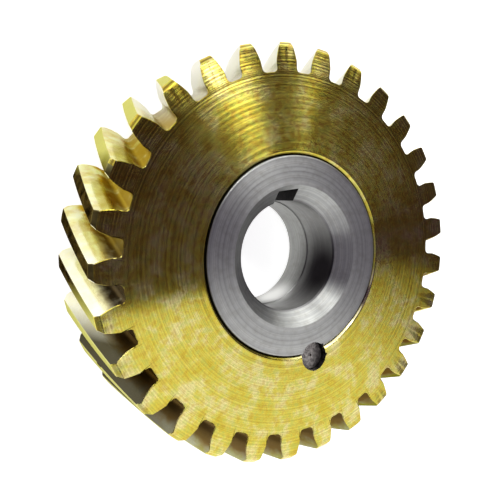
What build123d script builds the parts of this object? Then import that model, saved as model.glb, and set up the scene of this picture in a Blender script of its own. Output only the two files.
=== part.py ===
from build123d import *
from math import acos, atan, cos, pi, radians, sin, tan
import os

# A worm wheel: a bronze toothed rim pressed on a steel keyed hub, with a round pin locking the seam.
# It lies flat on its back face, with its axis on Z and its keyway on the +Y side.
# The origin is the middle of the back face. All lengths are millimetres and all angles degrees.

# Teeth, measured in a plane square to the axis
teeth = 29
transverse_module = 25.4 / 7
helix_angle = 22.0
normal_pressure_angle = 14.5
tooth_thickness = 5.9
root_clearance = 0.5
root_fillet = 1.2
front_tooth_angle = 87.0

# Toothed rim
face_width = 30.16
tip_chamfer = 1.2
rim_bore_chamfer = 0.9

# Hub
hub_radius = 27.15
hub_edge_rounding = 0.5
bore_radius = 15.08
countersink_depth = 4.2
bore_groove_width = 3.3
bore_groove_depth = 0.25
key_width = 6.35
key_depth = 2.96

# Locking pin
pin_radius = 3.97
pin_length = 19.0
pin_recess = 1.6
pin_beyond_seam = 1.53
pin_angle = -85.5
pin_chamfer = 0.5
pin_dimple_radius = 0.4
drill_point_angle = 118.0

# How far cutting shapes run past the metal that they cut
overrun = 2.0

# Sizes that follow from those above
pitch_radius = teeth * transverse_module / 2
tip_radius = pitch_radius + transverse_module
root_radius = pitch_radius - transverse_module - root_clearance
lead = 2 * pi * pitch_radius / tan(radians(helix_angle))
transverse_pressure_angle = atan(tan(radians(normal_pressure_angle)) / cos(radians(helix_angle)))
base_radius = pitch_radius * cos(transverse_pressure_angle)
countersink_radius = bore_radius + countersink_depth
keyway_ceiling = bore_radius + key_depth
pin_centre_radius = hub_radius + pin_beyond_seam
pin_x = pin_centre_radius * cos(radians(pin_angle))
pin_y = pin_centre_radius * sin(radians(pin_angle))
pin_end = face_width - pin_recess
pin_seat = pin_end - pin_length
drill_point_depth = pin_radius / tan(radians(drill_point_angle / 2))

os.makedirs("parts", exist_ok=True)


def involute(angle):
    """The angle, in radians, that an involute turns through up to a pressure angle in radians."""
    return tan(angle) - angle


# Half the angle of a gap where the flanks leave the base circle
gap_half_angle = pi / teeth - tooth_thickness / pitch_radius / 2 - involute(transverse_pressure_angle)


def flank_point(radius, side):
    """A point of a gap's flank at a radius, for a gap centred on +X and side 1 or -1."""
    angle = side * (gap_half_angle + involute(acos(min(1.0, base_radius / radius))))
    return (radius * cos(angle), radius * sin(angle))


# Section of one gap between two teeth: involute flanks, straight feet and a rounded root
flank_foot = max(base_radius, root_radius + root_fillet)
flank_end = tip_radius + overrun
flank_steps = 6
flank_radii = [
    flank_foot + (flank_end - flank_foot) * (step / flank_steps) ** 2 for step in range(flank_steps + 1)
]
foot_angle = gap_half_angle + involute(acos(min(1.0, base_radius / flank_foot)))
root_corner = (root_radius * cos(foot_angle), root_radius * sin(foot_angle))

with BuildSketch() as gap_section:
    with BuildLine():
        upper = Spline(*[flank_point(radius, 1) for radius in flank_radii])
        lower = Spline(*[flank_point(radius, -1) for radius in flank_radii])
        Line(upper @ 0, root_corner)
        Line(lower @ 0, (root_corner[0], -root_corner[1]))
        ThreePointArc(root_corner, (root_radius, 0), (root_corner[0], -root_corner[1]))
        ThreePointArc(upper @ 1, (flank_end, 0), lower @ 1)
    make_face()
    fillet(gap_section.vertices().sort_by(Axis.X)[:2], root_fillet)

# The gaps start a little below the back face, and turn about the axis as they rise past the front
gap_bottom = -overrun
gap_height = face_width + 2 * overrun
bottom_tooth_angle = front_tooth_angle - 360 * (face_width - gap_bottom) / lead

# Hole for the pin, drilled from the front on the seam, half in the rim and half in the hub
with BuildPart() as pin_hole:
    with Locations((pin_x, pin_y, pin_seat)):
        Cylinder(pin_radius, face_width - pin_seat, align=(Align.CENTER, Align.CENTER, Align.MIN))
        Cone(0, pin_radius, drill_point_depth, align=(Align.CENTER, Align.CENTER, Align.MAX))

# Toothed rim: a turned ring, cut by a ring of gaps that turn as they rise
with BuildPart() as toothed_rim:
    with BuildSketch(Plane.XZ):
        with Locations(((hub_radius + tip_radius) / 2, face_width / 2)):
            blank = Rectangle(tip_radius - hub_radius, face_width)
        chamfer(blank.vertices().group_by(Axis.X)[-1], tip_chamfer)
        chamfer(blank.vertices().group_by(Axis.X)[0], rim_bore_chamfer)
    revolve(axis=Axis.Z)
    with BuildSketch(Plane.XY.offset(gap_bottom)):
        with PolarLocations(0, teeth, start_angle=bottom_tooth_angle + 180 / teeth):
            add(gap_section.sketch)
    sweep(
        path=Edge.make_line((0, 0, gap_bottom), (0, 0, gap_bottom + gap_height)),
        binormal=Edge.make_helix(lead, gap_height, pitch_radius, center=(0, 0, gap_bottom)),
        mode=Mode.SUBTRACT,
    )
    add(pin_hole.part, mode=Mode.SUBTRACT)

toothed_rim.part.label = "toothed_rim"
export_step(toothed_rim.part, "parts/toothed_rim.step")

# Hub: a flush bush with a countersunk mouth at both ends, a shallow relief and a keyway right through
with BuildPart() as hub:
    with BuildSketch(Plane.XZ):
        with Locations(((bore_radius + hub_radius) / 2, face_width / 2)):
            wall = Rectangle(hub_radius - bore_radius, face_width)
        chamfer(wall.vertices().group_by(Axis.X)[0], countersink_depth)
        fillet(wall.vertices().group_by(Axis.X)[-1], hub_edge_rounding)
        with Locations((bore_radius, face_width / 2)):
            Rectangle(2 * bore_groove_depth, bore_groove_width, mode=Mode.SUBTRACT)
    revolve(axis=Axis.Z)
    with BuildSketch():
        with Locations((0, keyway_ceiling / 2)):
            Rectangle(key_width, keyway_ceiling)
    extrude(amount=face_width, mode=Mode.SUBTRACT)
    add(pin_hole.part, mode=Mode.SUBTRACT)

hub.part.label = "hub"
export_step(hub.part, "parts/hub.step")

# Locking pin: a plain cut-off pin below the face, with the lathe's centre mark on its end
with BuildPart() as lock_pin:
    with Locations((pin_x, pin_y, pin_seat)):
        Cylinder(pin_radius, pin_length, align=(Align.CENTER, Align.CENTER, Align.MIN))
    chamfer(lock_pin.edges().group_by(Axis.Z)[0], pin_chamfer)
    with Locations((pin_x, pin_y, pin_end)):
        Cone(
            0,
            pin_dimple_radius,
            pin_dimple_radius,
            align=(Align.CENTER, Align.CENTER, Align.MAX),
            mode=Mode.SUBTRACT,
        )

lock_pin.part.label = "lock_pin"
export_step(lock_pin.part, "parts/lock_pin.step")
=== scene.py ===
from functools import partial
from math import acos, asin, atan, cos, pi, radians, sin, sqrt, tan

import bmesh
import bpy
from mathutils import Matrix, Vector, noise


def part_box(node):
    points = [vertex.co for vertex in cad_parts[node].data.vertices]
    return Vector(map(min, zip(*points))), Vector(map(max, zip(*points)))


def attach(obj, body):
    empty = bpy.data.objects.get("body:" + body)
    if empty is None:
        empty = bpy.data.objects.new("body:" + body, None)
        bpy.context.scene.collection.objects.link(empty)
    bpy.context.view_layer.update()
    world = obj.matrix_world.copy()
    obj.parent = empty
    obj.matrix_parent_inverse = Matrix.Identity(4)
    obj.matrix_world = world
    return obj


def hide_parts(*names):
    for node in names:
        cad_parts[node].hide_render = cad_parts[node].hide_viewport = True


# A bronze worm wheel on a keyed steel hub, lying flat on its back face with its axis on Z.
# Lengths are metres, and mm turns a real size in millimetres into them.
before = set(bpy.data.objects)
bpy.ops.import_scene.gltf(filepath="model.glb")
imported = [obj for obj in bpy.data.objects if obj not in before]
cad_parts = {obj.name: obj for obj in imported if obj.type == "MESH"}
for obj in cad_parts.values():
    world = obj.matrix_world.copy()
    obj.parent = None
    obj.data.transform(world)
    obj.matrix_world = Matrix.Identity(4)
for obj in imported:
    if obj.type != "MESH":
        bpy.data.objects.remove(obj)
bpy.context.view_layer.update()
mm = 0.001

rim_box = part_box("toothed_rim")
hub_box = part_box("hub")
pin_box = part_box("lock_pin")
tip_radius = rim_box[1].x
face_width = rim_box[1].z
hub_radius = hub_box[1].x
pin_centre = (pin_box[0] + pin_box[1]) / 2
pin_radius = (pin_box[1].x - pin_box[0].x) / 2
pin_end = pin_box[1].z
pin_foot = pin_box[0].z

# Sizes that the solids' boxes don't give
teeth = 29
transverse_module = 25.4 / 7 * mm
helix_angle = radians(22)
normal_pressure_angle = radians(14.5)
tooth_thickness = 5.9 * mm
root_clearance = 0.5 * mm
root_fillet = 1.2 * mm
front_tooth_angle = radians(87)
tip_chamfer = 1.2 * mm
rim_bore_chamfer = 0.9 * mm
hub_edge_rounding = 0.5 * mm
bore_radius = 15.08 * mm
countersink_depth = 4.2 * mm
bore_groove_width = 3.3 * mm
bore_groove_depth = 0.25 * mm
key_width = 6.35 * mm
key_depth = 2.96 * mm
pin_chamfer = 0.5 * mm
pin_dimple_radius = 0.4 * mm

# Sizes that follow from those above
pitch_radius = teeth * transverse_module / 2
root_radius = pitch_radius - transverse_module - root_clearance
twist = tan(helix_angle) / pitch_radius
pressure_angle = atan(tan(normal_pressure_angle) / cos(helix_angle))
base_radius = pitch_radius * cos(pressure_angle)
half_pitch = pi / teeth

# The photograph's up direction lies this far clockwise from the keyway's side
photo_turn = radians(12)
photo_up = Vector((sin(photo_turn), cos(photo_turn), 0))
photo_right = Vector((cos(photo_turn), -sin(photo_turn), 0))
upward = Vector((0, 0, 1))
wheel_front = Vector((0, 0, face_width))


def show_only(piece):
    """Leaves one piece selected and active."""
    bpy.ops.object.select_all(action="DESELECT")
    piece.select_set(True)
    bpy.context.view_layer.objects.active = piece


def linear(hex_colour):
    """An sRGB hex colour as linear red, green, blue and alpha."""
    parts = [int(hex_colour[start:start + 2], 16) / 255 for start in (1, 3, 5)]
    return [part / 12.92 if part <= 0.04045 else ((part + 0.055) / 1.055) ** 2.4 for part in parts] + [1.0]


def add_node(tree, kind, *values, named=None, stops=(), output=None, **settings):
    """Adds a node with its settings and links, and gives its first output in use, or the one asked for.

    Values fill the inputs in use from the first on, and named ones go to the inputs of those names. A value
    is a number, a vector, an sRGB hex colour or another node's output, which is linked. Stops are a colour
    ramp's places and hex colours.
    """
    node = tree.nodes.new("ShaderNode" + kind)
    for name, setting in settings.items():
        setattr(node, name, setting)
    inputs = list(zip([socket for socket in node.inputs if socket.enabled], values))
    inputs += [(node.inputs[name], value) for name, value in (named or {}).items()]
    for socket, value in inputs:
        if isinstance(value, bpy.types.NodeSocket):
            tree.links.new(value, socket)
        else:
            socket.default_value = linear(value) if isinstance(value, str) else value
    if stops:
        elements = node.color_ramp.elements
        for place, _ in stops[2:]:
            elements.new(place)
        for element, (place, colour) in zip(elements, stops):
            element.position = place
            element.color = linear(colour)
    if output:
        return node.outputs[output]
    return next((socket for socket in node.outputs if socket.enabled), None)


def new_material(name):
    """An empty node material, and the function that adds a node to it."""
    material = bpy.data.materials.new(name)
    material.use_nodes = True
    material.node_tree.nodes.clear()
    return material, partial(add_node, material.node_tree)


# Camera
camera_place = Vector((-89.375, 27.546, 161.483)) * mm
camera_aim = Vector((-14.373, 4.352, 30.16)) * mm
camera_up_turn = radians(7.165)
photo_pixels = 500
focal_pixels = 597.74
sensor_width = 36.0
nearest_seen = 1 * mm
farthest_seen = 20


def looking(place, aim, up_hint):
    """The matrix of a camera or lamp at a place, which looks at an aim along its own -Z."""
    backward = (place - aim).normalized()
    right = up_hint.cross(backward).normalized()
    up = backward.cross(right)
    return Matrix((
        (right.x, up.x, backward.x, place.x),
        (right.y, up.y, backward.y, place.y),
        (right.z, up.z, backward.z, place.z),
        (0, 0, 0, 1),
    ))


def make_camera():
    """The camera at the photograph's viewing angle, fitted to the rim, the hub and the teeth."""
    data = bpy.data.cameras.new("camera")
    data.sensor_width = sensor_width
    data.lens = focal_pixels / photo_pixels * sensor_width
    data.clip_start = nearest_seen
    data.clip_end = farthest_seen
    camera = bpy.data.objects.new("camera", data)
    bpy.context.scene.collection.objects.link(camera)
    up_hint = Vector((sin(camera_up_turn), cos(camera_up_turn), 0))
    camera.matrix_world = looking(camera_place, camera_aim, up_hint)
    bpy.context.scene.camera = camera


# Studio: a pale floor, a dark room overhead and soft lamps that the turned metal mirrors
floor_size = 6.0
floor_paint = "#E6E6E6"
floor_glow = 0.74
haze_colour = "#F3F3F3"
room_colour = "#443650"
haze_foot = sin(radians(1))
haze_top = sin(radians(9))
table_light = 0.85
table_softness = radians(50)
lamp_distance = 1.2
lamp_power_to_radiance = 4.0

# Each lamp's bearing clockwise from the photograph's up direction, its height and its roll in degrees,
# its width and length in metres, and its radiance: 1 lights a mirror up to white
soft_lamps = {
    "low_panel": (149.4, 37.2, -23.3, 1.27, 1.74, 0.88),
    "left_panel": (205, 30, 0, 0.90, 0.60, 0.70),
    "high_strip": (3, 53.5, 61.5, 0.10, 1.30, 6.5),
    "side_strip": (36, 39, 52, 0.04, 0.90, 3.0),
    "far_panel": (345, 16, 0, 2.60, 0.30, 0.90),
    "back_panel": (350, 36, 0, 1.30, 0.42, 1.30),
    "side_panel": (262, 48, 0, 1.00, 0.35, 0.35),
    "right_panel": (28, 22, 0, 1.00, 0.50, 1.70),
}


def make_floor():
    """A plain white tabletop under the wheel, which fills the view behind it and keeps its shadow."""
    bpy.ops.object.select_all(action="DESELECT")
    bpy.ops.mesh.primitive_plane_add(size=floor_size)
    floor = bpy.context.object
    floor.name = "floor"
    material, node = new_material("white_tabletop")
    seen = 0.0
    for ray in ("Is Camera Ray", "Is Glossy Ray", "Is Transmission Ray"):
        seen = node("Math", node("LightPath", output=ray), seen, operation="ADD", use_clamp=True)
    glow = node("Emission", "#FFFFFF", node("Math", seen, floor_glow, operation="MULTIPLY"))
    node("OutputMaterial", node("AddShader", node("BsdfDiffuse", floor_paint), glow))
    floor.data.materials.append(material)


def make_room():
    """The world: pale at eye level, where it stands behind the floor, and a dark room above."""
    world = bpy.data.worlds.new("studio")
    bpy.context.scene.world = world
    world.use_nodes = True
    world.node_tree.nodes.clear()
    node = partial(add_node, world.node_tree)
    height = node("SeparateXYZ", node("TexCoord", output="Generated"), output="Z")
    colour = node("ValToRGB", height, stops=((haze_foot, haze_colour), (haze_top, room_colour)))
    node("OutputWorld", node("Background", colour, 1.0))


def add_softbox(name, bearing, height_angle, roll, width, length, radiance):
    """A soft rectangular lamp that faces the wheel from a bearing and a height angle in degrees."""
    data = bpy.data.lights.new(name, "AREA")
    data.shape = "RECTANGLE"
    data.size = width
    data.size_y = length
    data.energy = radiance * lamp_power_to_radiance * width * length
    lamp = bpy.data.objects.new(name, data)
    bpy.context.scene.collection.objects.link(lamp)
    away = photo_up * cos(radians(bearing)) + photo_right * sin(radians(bearing))
    way = away * cos(radians(height_angle)) + upward * sin(radians(height_angle))
    across = photo_right * cos(radians(bearing)) - photo_up * sin(radians(bearing))
    rolled = Matrix.Rotation(radians(roll), 3, way) @ way.cross(across)
    lamp.matrix_world = looking(wheel_front + way * lamp_distance, wheel_front, rolled)
    lamp.visible_camera = False


def make_table_light():
    """A plain soft light from behind the camera, which the metal doesn't mirror."""
    data = bpy.data.lights.new("table_light", "SUN")
    data.energy = table_light
    data.angle = table_softness
    lamp = bpy.data.objects.new("table_light", data)
    bpy.context.scene.collection.objects.link(lamp)
    lamp.matrix_world = looking(camera_place, camera_aim, photo_up)
    lamp.visible_glossy = False


make_camera()
make_floor()
make_room()
for lamp_name, lamp_values in soft_lamps.items():
    add_softbox(lamp_name, *lamp_values)
make_table_light()


# Materials, whose places, radii and pattern sizes are millimetres on the wheel

# TexNoise is given a place, its patches to a millimetre, its detail and its roughness. MapRange is given a
# value, where that starts and ends, and what it gives there, which is 0 and 1 where nothing is said.
noise_roughness = 0.6
core_share = 0.15


def wheel_position(node):
    """The place on the wheel in millimetres."""
    return node("VectorMath", node("TexCoord", output="Object"), 1 / mm, operation="SCALE")


def axis_distance(node, place):
    """How far a place is from the wheel's axis."""
    level = node("VectorMath", place, (1, 1, 0), operation="MULTIPLY")
    return node("VectorMath", level, operation="LENGTH")


def across_grooves(node, place):
    """The direction on the surface that is square to the turning grooves."""
    along = node("VectorMath", (0, 0, 1), place, operation="CROSS_PRODUCT")
    return node("VectorMath", along, node("NewGeometry", output="Normal"), operation="CROSS_PRODUCT")


def near(node, place, centre, reach, most):
    """A share that is at its most close to a centre, and falls to nothing at a reach from it."""
    gap = node("VectorMath", place, centre, operation="DISTANCE")
    return node("MapRange", gap, reach, core_share * reach, 0.0, most, interpolation_type="SMOOTHSTEP")


def bore_wall(bearing, height):
    """The place on the bore's wall at a clockwise bearing from the photograph's up direction."""
    out = photo_right * sin(radians(bearing)) + photo_up * cos(radians(bearing))
    return out * (bore_radius / mm) + upward * height


def turned_bronze():
    """Gunmetal faced on a lathe: bright ring grooves, freckled by light brown and green tarnish."""
    # Feed marks of about 0.2 mm are too fine to show, so colour is drawn at 0.4 mm and relief at 1.1 mm
    mark_spacing, relief_spacing = 0.42, 1.1
    relief_depth = 0.04 * mm
    cloud_size, freckle_size = 5.5, 1.6
    chamfer_start, face_end = 55.10, 55.04
    # Radii where the painted highlight on the seam's chamfer starts and is full
    seam_highlight_start, seam_highlight_full = 28.1, 28.0
    # Radii over which the seam is drawn darker
    seam_dark_start, seam_dark_full = 27.75, 27.5
    material, node = new_material("turned_gunmetal")
    place = wheel_position(node)
    up = node("VectorMath", place, photo_up, operation="DOT_PRODUCT")
    right = node("VectorMath", place, photo_right, operation="DOT_PRODUCT")
    radius = axis_distance(node, place)
    marks = node("TexNoise", radius, 1 / mark_spacing, 0.0, noise_roughness, noise_dimensions="1D")
    relief = node("TexNoise", radius, 1 / relief_spacing, 0.0, noise_roughness, noise_dimensions="1D")
    clouds = node("TexNoise", place, 1 / cloud_size, 5.0, noise_roughness)
    freckles = node("TexNoise", place, 1 / freckle_size, 6.0, noise_roughness)
    outer = node("MapRange", radius, 43.0, 48.0)
    upper = node("MapRange", up, -5.0, 25.0)

    # Gold metal with cleaner patches low down, and brown and green freckles
    gold = node("ValToRGB", clouds, stops=((0.36, "#D4C244"), (0.50, "#DFD25C"), (0.64, "#E8DE8C")))
    low_share = node("MapRange", upper, 0.4, 0.0, 0.0, 0.55)
    cleaned = node("Math", node("MapRange", clouds, 0.50, 0.62), low_share, operation="MULTIPLY")
    pale = node("Mix", cleaned, gold, "#F2E8A0", data_type="RGBA")
    high_share = node("MapRange", upper, 0.0, 0.8, 0.35, 0.50)
    brown = node("Math", node("MapRange", freckles, 0.50, 0.62), high_share, operation="MULTIPLY")
    tarnished = node("Mix", brown, pale, "#BC9038", data_type="RGBA")
    green = node("MapRange", freckles, 0.50, 0.38, 0.0, 0.5)
    greened = node("Mix", green, tarnished, "#BCC660", data_type="RGBA")

    # Feed marks, strongest near the teeth in the photograph's upper half
    strength = node("MapRange", node("Math", outer, upper, operation="MULTIPLY"), 0.0, 1.0, 0.22, 0.75)
    marked = node("Math", node("MapRange", marks, 0.62, 0.38), strength, operation="MULTIPLY")
    grooved = node("Mix", marked, greened, "#7A6420", data_type="RGBA")

    # Painted highlight on the seam's chamfer at the lower right, and the seam drawn darker inside
    highlight_side = node("Math", node("MapRange", upper, 0.1, 0.0), node("MapRange", right, 0.0, 6.0),
                       operation="MULTIPLY")
    seam_highlight = node("Math", node("MapRange", radius, seam_highlight_start, seam_highlight_full), highlight_side,
                 operation="MULTIPLY")
    highlighted = node("Mix", seam_highlight, grooved, "#F6ECB4", data_type="RGBA")
    seam_darkening = node("MapRange", radius, seam_dark_start, seam_dark_full, 0.0, 0.9)
    seam_darkened = node("Mix", seam_darkening, highlighted, "#2A2216", data_type="RGBA")

    bump_strength = node("MapRange", radius, chamfer_start, face_end)
    node("OutputMaterial", node("BsdfPrincipled", named={
        "Base Color": seam_darkened, "Metallic": 1.0,
        "Roughness": node("MapRange", clouds, 0.3, 0.7, 0.17, 0.20),
        "Normal": node("Bump", bump_strength, relief_depth, named={"Height": relief}),
        "Tangent": across_grooves(node, place), "Anisotropic": 1.0,
    }))
    return material


def hobbed_bronze():
    """Gunmetal cut by a hob: smooth mirror flanks with soft cutting marks, golden patches, brown roots, and
    painted highlights and shade.
    """
    mark_size, cloud_size, blotch_size = 1.5, 4.0, 4.5
    mark_depth = 0.006 * mm
    material, node = new_material("hobbed_gunmetal")
    place = wheel_position(node)
    up = node("VectorMath", place, photo_up, operation="DOT_PRODUCT")
    right = node("VectorMath", place, photo_right, operation="DOT_PRODUCT")
    marks = node("TexNoise", place, 1 / mark_size, 1.0, noise_roughness)
    clouds = node("TexNoise", place, 1 / cloud_size, 4.0, noise_roughness)
    blotches = node("TexNoise", place, 1 / blotch_size, 5.0, noise_roughness)
    left_side = node("MapRange", right, -25.0, -38.0)

    # How far down a gap a place is, which the stains follow: they lie deeper in the photograph's upper half
    lift = node("Math", up, 0.06, operation="MULTIPLY")
    lifted = node("Math", axis_distance(node, place), lift, operation="ADD")
    depth = node("MapRange", lifted, 53.5, 48.0)

    # Pale flanks, with a painted highlight at the tips and at the lower left
    pale = node("ValToRGB", clouds, stops=((0.35, "#D8D67E"), (0.60, "#E6EAC0")))
    lower_left_highlight = node("Math", node("MapRange", up, 6.0, -4.0, 0.0, 0.7), left_side, operation="MULTIPLY")
    flank_highlight_share = node("Math", lower_left_highlight, node("MapRange", depth, 0.15, 0.0, 0.0, 0.3), operation="MAXIMUM")
    highlighted = node("Mix", flank_highlight_share, pale, "#F6F4E2", data_type="RGBA")

    # Golden patches, fewer at the tips and in the photograph's lower half
    inward = node("Math", node("MapRange", depth, 0.0, 0.25, 0.35, 1.0),
                  node("MapRange", up, -4.0, 4.0, 0.3, 1.0), operation="MULTIPLY")
    patches = node("Math", node("MapRange", blotches, 0.40, 0.56, 0.0, 0.75), inward, operation="MULTIPLY")
    golden = node("Mix", patches, highlighted, "#B88A30", data_type="RGBA")

    # Painted shade on the flanks at the bottom, darkest at the lower left
    shade = node("Math", node("MapRange", up, -15.5, -23.0),
                 node("MapRange", left_side, 0.0, 1.0, 0.6, 0.95), operation="MULTIPLY")
    shaded = node("Mix", shade, golden, "#302A14", data_type="RGBA")

    # Brown stains in the roots, with painted shade making them darker low down on the left, and a painted
    # pale reflection at the top
    left_root_stain_and_shade = node("Mix", node("MapRange", up, -4.0, 8.0), "#523E1A", "#B8A044", data_type="RGBA")
    root_stain_and_shade = node("Mix", left_side, "#7C6438", left_root_stain_and_shade, data_type="RGBA")
    stain = node("MapRange", node("Math", depth, blotches, operation="MULTIPLY"), 0.10, 0.32, 0.0, 0.92)
    stained = node("Mix", stain, shaded, root_stain_and_shade, data_type="RGBA")
    with_painted_top_reflection = node("Mix", node("MapRange", up, 26.0, 44.0, 0.0, 0.9), stained, "#DDDCD2", data_type="RGBA")

    node("OutputMaterial", node("BsdfPrincipled", named={
        "Base Color": with_painted_top_reflection, "Metallic": 1.0, "Specular Tint": with_painted_top_reflection,
        "Roughness": node("MapRange", depth, 0.1, 0.6, 0.18, 0.55),
        "Normal": node("Bump", 1.0, mark_depth, named={"Height": marks}),
    }))
    return material


def turned_land():
    """Gunmetal turned across the teeth: a duller, dark brown outside diameter, with painted highlights high
    and low.
    """
    cloud_size = 3.0
    material, node = new_material("dark_brown_gunmetal")
    place = wheel_position(node)
    up = node("VectorMath", place, photo_up, operation="DOT_PRODUCT")
    clouds = node("TexNoise", place, 1 / cloud_size, 4.0, noise_roughness)
    brown = node("ValToRGB", clouds, stops=((0.35, "#463C22"), (0.65, "#6A5E38")))
    # Painted highlights on the lands high and low
    wear_and_highlight = node("Math", node("MapRange", up, -9.0, -17.0), node("MapRange", up, 17.0, 23.0),
                operation="MAXIMUM")
    highlit_land = node("Mix", wear_and_highlight, brown, "#D0CE88", data_type="RGBA")
    node("OutputMaterial", node("BsdfPrincipled", named={
        "Base Color": highlit_land, "Metallic": 1.0, "Specular Tint": highlit_land,
        "Roughness": node("MapRange", clouds, 0.3, 0.7, 0.30, 0.42),
        "Tangent": across_grooves(node, place), "Anisotropic": 0.6,
    }))
    return material


def turned_steel():
    """Bright mild steel faced and bored on a lathe: grey ring marks, and painted shade and a painted
    highlight in the bore.
    """
    # Feed marks of about 0.2 mm are too fine to show, so they are drawn at 0.4 mm and wider
    mark_spacing, ring_spacing = 0.40, 1.3
    mark_depth = 0.007 * mm
    wear_size = 2.0
    bore_start, bore_full = 15.6, 15.4
    # Radii over which the steel's edge at the seam is drawn darker
    seam_dark_start, seam_dark_full = 27.0, 27.12
    # Centres and reaches of the bore's painted shade and painted highlight
    bore_shade_centre, bore_shade_reach = bore_wall(106, 22.0), 17.0
    bore_highlight_centre, bore_highlight_reach = bore_wall(152, 9.0), 8.0
    material, node = new_material("turned_mild_steel")
    place = wheel_position(node)
    radius = axis_distance(node, place)
    height = node("SeparateXYZ", place, output="Z")
    run = node("Math", radius, height, operation="ADD")
    marks = node("TexNoise", run, 1 / mark_spacing, 0.0, noise_roughness, noise_dimensions="1D")
    rings = node("TexNoise", run, 1 / ring_spacing, 1.0, noise_roughness, noise_dimensions="1D")
    wear = node("TexNoise", place, 1 / wear_size, 6.0, noise_roughness)

    # Grey rings with duller patches and scored lines
    grey = node("ValToRGB", rings, stops=((0.30, "#B0B2AE"), (0.70, "#C0C2BC")))
    wear_and_highlight = node("Mix", node("MapRange", wear, 0.45, 0.7, 0.0, 0.5), grey, "#9A988F", data_type="RGBA")
    scores = node("MapRange", marks, 0.48, 0.30, 0.0, 0.28)
    scored = node("Mix", scores, wear_and_highlight, "#7E7C76", data_type="RGBA")

    # The bore is darker above its relief, with painted shade on one side and a painted highlight in one place
    bore = node("MapRange", radius, bore_start, bore_full)
    dulled = node("Math", bore, node("MapRange", height, 13.0, 17.5, 0.35, 0.55), operation="MULTIPLY")
    bored = node("Mix", dulled, scored, "#6A6668", data_type="RGBA")
    bore_shade_share = near(node, place, bore_shade_centre, bore_shade_reach, 0.95)
    bore_shade = node("Math", bore_shade_share, bore, operation="MULTIPLY")
    shaded_bore = node("Mix", bore_shade, bored, "#1E1A1E", data_type="RGBA")
    bore_highlight_share = near(node, place, bore_highlight_centre, bore_highlight_reach, 1.0)
    highlit_bore = node("Mix", bore_highlight_share, shaded_bore, "#FAFAF6", data_type="RGBA")

    # The steel's edge is drawn darker at the seam
    seam_darkening = node("MapRange", radius, seam_dark_start, seam_dark_full, 0.0, 0.9)
    relief = node("Math", marks, rings, operation="ADD")
    node("OutputMaterial", node("BsdfPrincipled", named={
        "Base Color": node("Mix", seam_darkening, highlit_bore, "#1E1A16", data_type="RGBA"), "Metallic": 1.0,
        # The painted shade also darkens the bore's reflections there
        "Specular Tint": node("Mix", bore_shade, "#FFFFFF", "#2A262A", data_type="RGBA"),
        "Roughness": node("MapRange", marks, 0.3, 0.7, 0.34, 0.42),
        "Normal": node("Bump", 1.0, mark_depth, named={"Height": relief}),
        "Tangent": across_grooves(node, place), "Anisotropic": 0.7,
    }))
    return material


def broached_steel():
    """Mild steel cut by a broach: the keyway's walls painted dark as shade."""
    cloud_size = 1.5
    material, node = new_material("keyway_steel_painted_dark")
    clouds = node("TexNoise", wheel_position(node), 1 / cloud_size, 4.0, noise_roughness)
    painted_keyway_shade = node("ValToRGB", clouds, stops=((0.30, "#1C1A1C"), (0.70, "#2E2A2A")))
    node("OutputMaterial", node("BsdfPrincipled", named={
        "Base Color": painted_keyway_shade, "Metallic": 1.0, "Roughness": 0.5,
    }))
    return material


def sheared_steel():
    """Tool steel cut off and driven in: a grey, pitted end, with painted shade at the photograph's right."""
    cloud_size, pit_size = 0.9, 0.45
    pit_depth = 0.15 * mm
    material, node = new_material("pitted_tool_steel")
    place = wheel_position(node)
    right = node("VectorMath", place, photo_right, operation="DOT_PRODUCT")
    clouds = node("TexNoise", place, 1 / cloud_size, 5.0, noise_roughness)
    pits = node("TexNoise", place, 1 / pit_size, 5.0, noise_roughness)
    grey = node("ValToRGB", clouds, stops=((0.35, "#6A6664"), (0.65, "#C4C0B8")))
    # Painted shade on the right of the pin's end and of its hole's wall
    pin_right_shade = node("MapRange", right, 8.6, 10.4, 0.0, 0.7)
    node("OutputMaterial", node("BsdfPrincipled", named={
        "Base Color": node("Mix", pin_right_shade, grey, "#2A2626", data_type="RGBA"),
        "Metallic": 1.0, "Roughness": 0.5,
        "Normal": node("Bump", 1.0, pit_depth, named={"Height": pits}),
    }))
    return material


bronze_face = turned_bronze()
bronze_flank = hobbed_bronze()
bronze_land = turned_land()
steel_face = turned_steel()
steel_keyway = broached_steel()
steel_pin = sheared_steel()


def involute(angle):
    """The angle that an involute turns through up to a pressure angle."""
    return tan(angle) - angle


# The tooth outline, and how finely each part of it and the twist are divided
gap_half_angle = half_pitch - tooth_thickness / pitch_radius / 2 - involute(pressure_angle)
fillet_turn = asin(root_fillet / (root_radius + root_fillet))
root_steps = 3
fillet_steps = 6
flank_steps = 10
flank_crowding = 1.5
land_steps = 3
twist_levels = 14

# Edges and surfaces of the finished pieces
same_place = 0.001 * mm
sharp_edge = radians(32)
smoothed_edge = radians(20)
bronze_edge_flat = 0.16 * mm
steel_edge_flat = 0.08 * mm
corner_steps = 6
hub_sides = 288
hole_sides = 120
pin_sides = 96


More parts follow.
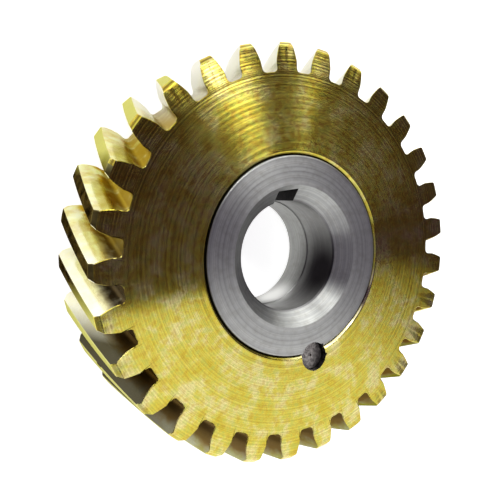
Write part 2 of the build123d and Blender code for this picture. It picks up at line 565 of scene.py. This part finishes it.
def half_outline(top):
    """From a gap's middle to the next tooth's: radius, angle, and the evener angle used inside the faces."""
    points = []
    fillet_angle = gap_half_angle - fillet_turn
    for step in range(root_steps):
        angle = fillet_angle * step / root_steps
        points.append((root_radius, angle, angle))
    for step in range(fillet_steps + 1):
        turn = (pi / 2 - fillet_turn) * step / fillet_steps
        x = root_radius + root_fillet - root_fillet * cos(turn)
        y = root_fillet * sin(turn)
        angle = fillet_angle + atan(y / x)
        points.append((sqrt(x * x + y * y), angle, angle))
    edge = []
    for step in range(flank_steps + 1):
        radius = base_radius + (top - base_radius) * (step / flank_steps) ** flank_crowding
        edge.append((radius, gap_half_angle + involute(acos(min(1.0, base_radius / radius)))))
    corner = edge[-1][1]
    for step in range(1, land_steps + 1):
        edge.append((top, corner + (half_pitch - corner) * step / land_steps))
    for place, (radius, angle) in enumerate(edge):
        even = gap_half_angle + (half_pitch - gap_half_angle) * (place + 1) / len(edge)
        points.append((radius, angle, even))
    return points


def outline(top):
    """The whole wheel's outline at one level, gap by gap."""
    half = half_outline(top)
    both = [(radius, -angle, -even) for radius, angle, even in reversed(half[1:-1])] + half
    return [
        (radius, angle + 2 * half_pitch * gap, even + 2 * half_pitch * gap)
        for gap in range(teeth) for radius, angle, even in both
    ]


def shape_ring(piece, z, top=tip_radius, plain_radius=None):
    """Moves the selected ring of vertices to the toothed outline, or to a plain circle, at a level."""
    mesh = bmesh.from_edit_mesh(piece.data)
    layer = mesh.verts.layers.int["outline"]
    points = outline(top)
    turn = front_tooth_angle + half_pitch - (face_width - z) * twist
    for vertex in mesh.verts:
        if vertex.select:
            radius, angle, even = points[vertex[layer]]
            if plain_radius:
                radius, angle = plain_radius, even
            vertex.co = (radius * cos(angle + turn), radius * sin(angle + turn), z)
    bmesh.update_edit_mesh(piece.data)


def close_shell():
    """In edit mode: joins the last ring to the first and turns all faces outward."""
    bpy.ops.mesh.select_all(action="SELECT")
    bpy.ops.mesh.remove_doubles(threshold=same_place)
    bpy.ops.mesh.normals_make_consistent(inside=False)
    bpy.ops.object.mode_set(mode="OBJECT")


def apply_modifier(piece, kind, **settings):
    """Adds a modifier with its settings and applies it."""
    show_only(piece)
    modifier = piece.modifiers.new(kind.lower(), kind)
    for name, value in settings.items():
        setattr(modifier, name, value)
    bpy.ops.object.modifier_apply(modifier=modifier.name)


def break_edges(piece, width):
    """Breaks the piece's sharp edges by a narrow flat."""
    apply_modifier(piece, "BEVEL", width=width, segments=1, limit_method="ANGLE", angle_limit=sharp_edge)


def cut_away(piece, cutter):
    """Cuts a cutter's shape from a piece, and gives the cut walls the cutter's material."""
    apply_modifier(piece, "BOOLEAN", object=cutter, operation="DIFFERENCE", solver="EXACT",
                   material_mode="TRANSFER")


def finish_piece(piece, node):
    """Smooths a finished piece, and has it stand for its solid."""
    show_only(piece)
    bpy.ops.object.shade_smooth_by_angle(angle=smoothed_edge)
    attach(piece, "root")
    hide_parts(node)


# The rim's rings and where its materials meet
chamfered_top = tip_radius - tip_chamfer
web_radius = root_radius - 1.5 * mm
bore_mouth = hub_radius + rim_bore_chamfer
land_start = chamfered_top + 0.25 * tip_chamfer
turned_face_end = root_radius - 0.5 * mm
rim_materials = (bronze_face, bronze_flank, bronze_land)


def rim_material(face):
    """The material of a rim's face: dark brown lands, turned faces and bore, and hobbed gaps.

    On the photograph's left side the tip chamfers are dark brown like the lands.
    """
    out = Vector((face.center.x, face.center.y, 0)).normalized()
    distance = face.center.xy.length
    dark_land_side = out.dot(photo_right) < -0.8 and -0.25 < out.dot(photo_up) < 0.34
    steepest = 0.9 if dark_land_side else 0.5
    if distance > land_start and face.normal.dot(out) > 0.5 and abs(face.normal.z) < steepest:
        return bronze_land
    if distance < turned_face_end or abs(face.normal.z) > 0.5:
        return bronze_face
    return bronze_flank


def make_rim():
    """The toothed bronze rim: rings of the tooth outline, turned a little at each level."""
    bpy.ops.object.select_all(action="DESELECT")
    bpy.ops.mesh.primitive_circle_add(vertices=len(outline(tip_radius)), radius=tip_radius)
    rim = bpy.context.object
    rim.name = "bronze_rim"
    bpy.ops.object.mode_set(mode="EDIT")
    mesh = bmesh.from_edit_mesh(rim.data)
    layer = mesh.verts.layers.int.new("outline")
    for index, vertex in enumerate(mesh.verts):
        vertex[layer] = index
    bmesh.update_edit_mesh(rim.data)
    shape_ring(rim, 0, chamfered_top)
    toothed = [
        (tip_chamfer + (face_width - 2 * tip_chamfer) * level / twist_levels, tip_radius)
        for level in range(twist_levels + 1)
    ]
    for z, top in toothed + [(face_width, chamfered_top)]:
        bpy.ops.mesh.extrude_edges_move()
        shape_ring(rim, z, top)
    for z, radius in (
        (face_width, web_radius), (face_width, bore_mouth), (face_width - rim_bore_chamfer, hub_radius),
        (rim_bore_chamfer, hub_radius), (0, bore_mouth), (0, web_radius),
    ):
        bpy.ops.mesh.extrude_edges_move()
        shape_ring(rim, z, plain_radius=radius)
    bpy.ops.mesh.extrude_edges_move()
    shape_ring(rim, 0, chamfered_top)
    close_shell()
    for material in rim_materials:
        rim.data.materials.append(material)
    for face in rim.data.polygons:
        face.material_index = rim_materials.index(rim_material(face))
    break_edges(rim, bronze_edge_flat)
    return rim


def make_turned(name, profile, sides):
    """A turned ring whose closed profile is a list of radius and height."""
    bpy.ops.object.select_all(action="DESELECT")
    radius, z = profile[0]
    bpy.ops.mesh.primitive_circle_add(vertices=sides, radius=radius, location=(0, 0, z))
    piece = bpy.context.object
    piece.name = name
    bpy.ops.object.transform_apply(location=True, rotation=True, scale=True)
    bpy.ops.object.mode_set(mode="EDIT")
    for radius, z in profile[1:] + profile[:1]:
        bpy.ops.mesh.extrude_edges_move()
        mesh = bmesh.from_edit_mesh(piece.data)
        for vertex in mesh.verts:
            if vertex.select:
                out = vertex.co.xy.normalized() * radius
                vertex.co = (out.x, out.y, z)
        bmesh.update_edit_mesh(piece.data)
    close_shell()
    return piece


def rounded_corner(radius, z, rounding, up):
    """Points of radius and height round an outside corner, from the face to the wall, up or down."""
    side = 1 if up else -1
    turns = [pi / 2 * step / corner_steps for step in range(corner_steps + 1)]
    return [
        (radius - rounding + rounding * sin(turn), z - side * (rounding - rounding * cos(turn)))
        for turn in turns
    ]


def make_hub():
    """The steel hub: turned, countersunk at both ends, relieved in the middle and slotted for the key."""
    groove_low = (face_width - bore_groove_width) / 2
    groove_high = (face_width + bore_groove_width) / 2
    groove_radius = bore_radius + bore_groove_depth
    groove_top_slope = 0.1 * mm
    mouth_radius = bore_radius + countersink_depth
    profile = (
        [(bore_radius, face_width - countersink_depth), (mouth_radius, face_width)]
        + rounded_corner(hub_radius, face_width, hub_edge_rounding, True)
        + rounded_corner(hub_radius, 0, hub_edge_rounding, False)[::-1]
        + [(mouth_radius, 0), (bore_radius, countersink_depth), (bore_radius, groove_low),
           (groove_radius, groove_low + bore_groove_depth), (groove_radius, groove_high - groove_top_slope),
           (bore_radius, groove_high)]
    )
    hub = make_turned("steel_hub", profile, hub_sides)
    hub.data.materials.append(steel_face)
    ceiling = bore_radius + key_depth
    bpy.ops.object.select_all(action="DESELECT")
    bpy.ops.mesh.primitive_cube_add(size=1, location=(0, ceiling / 2, face_width / 2),
                                    scale=(key_width, ceiling, 2 * face_width))
    slot = bpy.context.object
    slot.data.materials.append(steel_keyway)
    cut_away(hub, slot)
    bpy.data.objects.remove(slot)
    break_edges(hub, steel_edge_flat)
    return hub


# The pin hole's torn edge, in lumps and smaller chips
torn_middle = (photo_right * 0.95 - photo_up * 0.3).normalized()
torn_limit = 0.1
torn_steepness = 3
torn_least = 0.15 * mm
torn_extra = 0.9 * mm
lump_scale = 4.0
chip_scale = 9.0
small_share = 0.6

# The pin's cut end, with its rounded rim, pits and centre mark
end_rounding = 0.25 * mm
end_rings = 14
pitted_height = 2 * end_rounding
pit_width = 0.9 * mm
small_pit_width = 0.35 * mm
pit_depth = 0.09 * mm
pit_shift = 0.3
unpitted_radius = 0.1 * mm
mark_wall_share = 0.8
mark_wall_depth = 0.5 * mm
mark_tip_depth = 0.6 * mm
axis_radius = 0.02 * mm


def make_hole_cutter():
    """A drilled hole's shape, with a torn edge on the photograph's right and a little down."""
    bpy.ops.object.select_all(action="DESELECT")
    bpy.ops.mesh.primitive_cylinder_add(vertices=hole_sides, radius=pin_radius, depth=2 * face_width,
                                        location=(pin_centre.x, pin_centre.y, pin_foot + face_width))
    cutter = bpy.context.object
    bpy.ops.object.transform_apply(location=True, rotation=True, scale=True)
    cutter.data.materials.append(steel_pin)
    for vertex in cutter.data.vertices:
        out = Vector((vertex.co.x - pin_centre.x, vertex.co.y - pin_centre.y, 0)).normalized()
        tear = max(0.0, out.dot(torn_middle) - torn_limit)
        rough = noise.noise(out * lump_scale) + small_share * noise.noise(out * chip_scale)
        extra = min(1.0, torn_steepness * tear) * (torn_least + torn_extra * max(0.0, rough))
        vertex.co.x += out.x * extra
        vertex.co.y += out.y * extra
    return cutter


def make_pin():
    """The locking pin: cut off rough below the face, with a centre mark on its end."""
    flat = pin_radius - end_rounding
    profile = [(pin_radius - pin_chamfer, pin_foot), (pin_radius, pin_foot + pin_chamfer)]
    profile += rounded_corner(pin_radius, pin_end, end_rounding, True)[::-1]
    profile += [
        (pin_dimple_radius + (flat - pin_dimple_radius) * (end_rings - ring) / end_rings, pin_end)
        for ring in range(1, end_rings + 1)
    ]
    profile += [(pin_dimple_radius * mark_wall_share, pin_end - mark_wall_depth),
                (axis_radius, pin_end - mark_tip_depth), (axis_radius, pin_foot)]
    pin = make_turned("steel_pin", profile, pin_sides)
    for vertex in pin.data.vertices:
        if vertex.co.z > pin_end - pitted_height and vertex.co.xy.length > unpitted_radius:
            rough = noise.noise(vertex.co / pit_width)
            rough += small_share * noise.noise(vertex.co / small_pit_width)
            vertex.co.z -= pit_depth * max(0.0, rough + pit_shift)
        vertex.co.x += pin_centre.x
        vertex.co.y += pin_centre.y
    pin.data.materials.append(steel_pin)
    return pin


rim = make_rim()
hub = make_hub()
hole_cutter = make_hole_cutter()
cut_away(rim, hole_cutter)
cut_away(hub, hole_cutter)
bpy.data.objects.remove(hole_cutter)
pin = make_pin()
finish_piece(rim, "toothed_rim")
finish_piece(hub, "hub")
finish_piece(pin, "lock_pin")

bpy.context.scene.view_settings.view_transform = "Standard"
